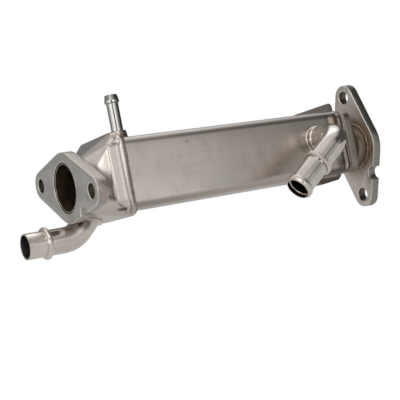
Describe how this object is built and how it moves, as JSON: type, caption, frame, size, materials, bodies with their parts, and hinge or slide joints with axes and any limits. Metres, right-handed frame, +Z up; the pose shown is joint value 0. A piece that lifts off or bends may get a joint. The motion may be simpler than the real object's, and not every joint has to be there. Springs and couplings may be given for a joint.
{
  "type": "exhaust gas recirculation cooler",
  "caption": "Exhaust gas recirculation cooler: flat gas tubes in a brushed steel coolant shell, with oval bolt flanges, a sloping inlet hood, coolant pipes and a vent nipple.",
  "frame": {"origin": "middle of the inlet flange's mating face, on the gas axis", "axes": "+X along the gas flow from inlet to outlet, +Z up, -Y towards the side with the coolant outlet elbow"},
  "size_m": [0.264, 0.1057, 0.0997],
  "materials": {
    "flange_steel": "satin, warm grey, mottled by heat",
    "sheet_steel": "fine lengthwise brushing",
    "weld": "heat-tinted weld bead",
    "brazed_plate": "dull brazed",
    "bright_pipe": "polished tube",
    "core_steel": "thin sheet"
  },
  "bodies": {
    "root": {"inlet_flange": "flange_steel", "inlet_neck": "bright_pipe", "inlet_flange_weld": "weld", "hood": "sheet_steel", "hood_neck_weld": "weld", "hood_ring": "brazed_plate", "inlet_cone": "sheet_steel", "inlet_tube_sheet": "brazed_plate", "shell": "sheet_steel", "gas_tube_1": "core_steel", "gas_tube_2": "core_steel", "gas_tube_3": "core_steel", "gas_tube_4": "core_steel", "gas_tube_5": "core_steel", "tube_fin_1": "core_steel", "tube_fin_2": "core_steel", "tube_fin_3": "core_steel", "tube_fin_4": "core_steel", "tube_fin_5": "core_steel", "tube_comb_1": "brazed_plate", "tube_comb_2": "brazed_plate", "outlet_tube_sheet": "brazed_plate", "outlet_tank": "sheet_steel", "outlet_flange": "flange_steel", "outlet_flange_weld": "weld", "coolant_inlet_pipe": "bright_pipe", "coolant_inlet_weld": "weld", "coolant_outlet_boss": "bright_pipe", "coolant_outlet_elbow": "bright_pipe", "vent_boss": "bright_pipe", "vent_nipple": "bright_pipe"}
  },
  "joints": []
}
